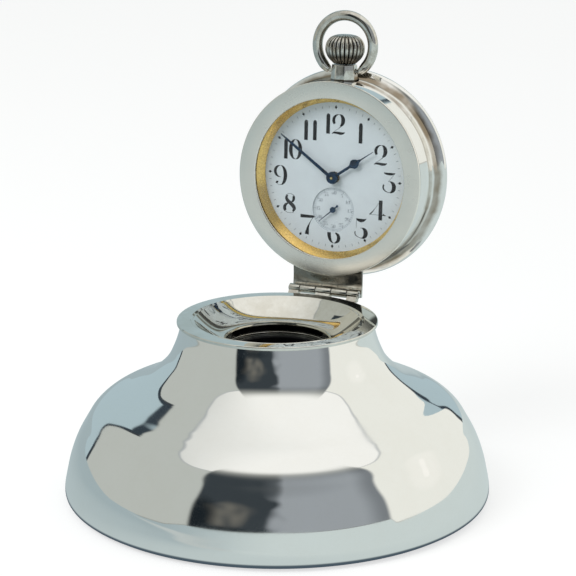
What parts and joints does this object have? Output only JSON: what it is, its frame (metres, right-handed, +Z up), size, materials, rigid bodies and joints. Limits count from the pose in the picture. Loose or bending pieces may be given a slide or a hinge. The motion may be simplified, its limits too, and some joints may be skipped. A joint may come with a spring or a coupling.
{
  "type": "desk inkstand",
  "caption": "Weighted silver capstan inkwell with a dished well, a lift-out glass liner and a hinged drum lid that holds a crown-wound pocket watch.",
  "frame": {"origin": "centre of the base's underside, on the axis of the stand and its well", "axes": "+Z up along the stand's axis; -Y towards the user, the way the open lid's dial faces; the lid hinge lies along X at the back; +X towards the dial's three o'clock side"},
  "size_m": [0.152, 0.152, 0.1657],
  "materials": {
    "silver": "polished silver",
    "silver_worn": "silver, handled and slightly dull",
    "steel": "finely finished steel",
    "blued_steel": "heat-blued steel",
    "gilt": "gilded brass",
    "brass": "brass",
    "enamel": "white vitreous enamel",
    "glass": "clear glass",
    "pitch": "poured pitch and plaster",
    "wood": "stained hardwood",
    "baize": "green baize",
    "velvet": "purple velvet"
  },
  "bodies": {
    "stand": {"stand_body": "silver", "stand_filling": "pitch", "bottom_board": "wood", "baize_pad": "baize", "well_tray": "silver", "well_cup": "silver_worn", "stand_hinge_leaf": "silver_worn", "hinge_pin": "steel"},
    "liner": {"ink_liner": "glass"},
    "lid": {"lid_drum": "silver", "lid_bezel": "silver", "lid_back": "silver", "lid_pad": "velvet", "lid_hinge_leaf": "silver_worn", "watch_bezel": "steel", "crystal": "glass", "gilt_ring": "gilt", "watch_case_middle": "steel", "watch_case_back": "steel", "pendant": "silver_worn", "dial": "enamel", "seconds_dial": "enamel", "main_plate": "gilt", "barrel_bridge": "gilt", "train_bridge": "gilt", "balance_cock": "gilt", "barrel_bridge_screw_left": "blued_steel", "barrel_bridge_screw_right": "blued_steel", "train_bridge_screw_right": "blued_steel", "train_bridge_screw_low": "blued_steel", "balance_cock_screw": "blued_steel", "crown_wheel_screw": "blued_steel", "click_screw": "blued_steel", "hairspring": "blued_steel"},
    "bow": {"bow": "silver_worn"},
    "winding": {"winding_pinion": "steel"},
    "crown": {"crown": "silver_worn", "winding_stem": "steel"},
    "crown_wheel": {"crown_wheel": "steel"},
    "ratchet": {"ratchet_wheel": "steel", "barrel_arbor": "steel"},
    "click": {"click": "steel"},
    "barrel": {"barrel": "brass", "barrel_cover": "brass", "mainspring": "blued_steel"},
    "minute": {"centre_wheel": "brass", "cannon_pinion": "steel", "minute_hand": "blued_steel"},
    "third": {"third_wheel": "brass"},
    "seconds": {"fourth_wheel": "brass", "seconds_hand": "blued_steel"},
    "escape": {"escape_wheel": "steel"},
    "lever": {"pallet_lever": "steel"},
    "balance": {"balance_wheel": "gilt"},
    "minute_wheel": {"minute_wheel": "brass"},
    "hour": {"hour_wheel": "brass", "hour_hand": "blued_steel"}
  },
  "joints": [
    {"name": "lid_hinge", "type": "hinge", "parent": "stand", "child": "lid", "pos_m": [0, 0.0419, 0.0637], "axis": [1, 0, 0], "range_deg": [0, 93]},
    {"name": "liner_lift", "type": "slide", "parent": "stand", "child": "liner", "axis": [0, 0, -1], "range_m": [-0.055, 0]},
    {"name": "bow_swing", "type": "hinge", "parent": "lid", "child": "bow", "pos_m": [0, 0.05961, 0.14358], "axis": [1, 0, 0], "range_deg": [-60, 60]},
    {"name": "winding_turn", "type": "hinge", "parent": "lid", "child": "winding", "pos_m": [0, 0.05975, 0.14628], "axis": [0, 0.0523, 0.9986], "continuous": true},
    {"name": "crown_pull", "type": "slide", "parent": "winding", "child": "crown", "axis": [0, 0.0523, 0.9986], "range_m": [0, 0.0012]},
    {"name": "crown_wheel_turn", "type": "hinge", "parent": "lid", "child": "crown_wheel", "pos_m": [0, 0.05567, 0.12396], "axis": [0, 0.9986, -0.0523], "continuous": true},
    {"name": "ratchet_turn", "type": "hinge", "parent": "lid", "child": "ratchet", "pos_m": [-0.006, 0.05528, 0.1165], "axis": [0, 0.9986, -0.0523], "continuous": true},
    {"name": "click_lift", "type": "hinge", "parent": "lid", "child": "click", "pos_m": [-0.01302, 0.05971, 0.11503], "axis": [0, 0.9986, -0.0523], "range_deg": [0, 12]},
    {"name": "seconds_turn", "type": "hinge", "parent": "lid", "child": "seconds", "pos_m": [0, 0.05404, 0.0928], "axis": [0, 0.9986, -0.0523], "continuous": true},
    {"name": "third_turn", "type": "hinge", "parent": "lid", "child": "third", "pos_m": [0.00896, 0.05433, 0.09827], "axis": [0, 0.9986, -0.0523], "continuous": true},
    {"name": "minute_turn", "type": "hinge", "parent": "lid", "child": "minute", "pos_m": [0, 0.05468, 0.10499], "axis": [0, 0.9986, -0.0523], "continuous": true},
    {"name": "barrel_turn", "type": "hinge", "parent": "lid", "child": "barrel", "pos_m": [-0.006, 0.05528, 0.1165], "axis": [0, 0.9986, -0.0523], "continuous": true},
    {"name": "escape_turn", "type": "hinge", "parent": "lid", "child": "escape", "pos_m": [-0.00816, 0.05384, 0.08901], "axis": [0, 0.9986, -0.0523], "continuous": true},
    {"name": "minute_wheel_turn", "type": "hinge", "parent": "lid", "child": "minute_wheel", "pos_m": [0.00398, 0.0545, 0.10165], "axis": [0, 0.9986, -0.0523], "continuous": true},
    {"name": "hour_turn", "type": "hinge", "parent": "lid", "child": "hour", "pos_m": [0, 0.05468, 0.10499], "axis": [0, 0.9986, -0.0523], "continuous": true},
    {"name": "lever_rock", "type": "hinge", "parent": "lid", "child": "lever", "pos_m": [-0.01304, 0.05404, 0.09282], "axis": [0, 0.9986, -0.0523], "range_deg": [-4, 4]},
    {"name": "balance_swing", "type": "hinge", "parent": "lid", "child": "balance", "pos_m": [-0.01935, 0.0543, 0.09774], "axis": [0, 0.9986, -0.0523], "range_deg": [-270, 270]}
  ],
  "couplings": [
    {"joint": "crown_wheel_turn", "follows": "winding_turn", "ratio": -0.5},
    {"joint": "ratchet_turn", "follows": "winding_turn", "ratio": 0.4},
    {"joint": "third_turn", "follows": "seconds_turn", "ratio": -0.13333},
    {"joint": "minute_turn", "follows": "seconds_turn", "ratio": 0.016667},
    {"joint": "barrel_turn", "follows": "seconds_turn", "ratio": -0.0020833},
    {"joint": "escape_turn", "follows": "seconds_turn", "ratio": -10},
    {"joint": "minute_wheel_turn", "follows": "seconds_turn", "ratio": -0.0055556},
    {"joint": "hour_turn", "follows": "seconds_turn", "ratio": 0.0013889}
  ]
}
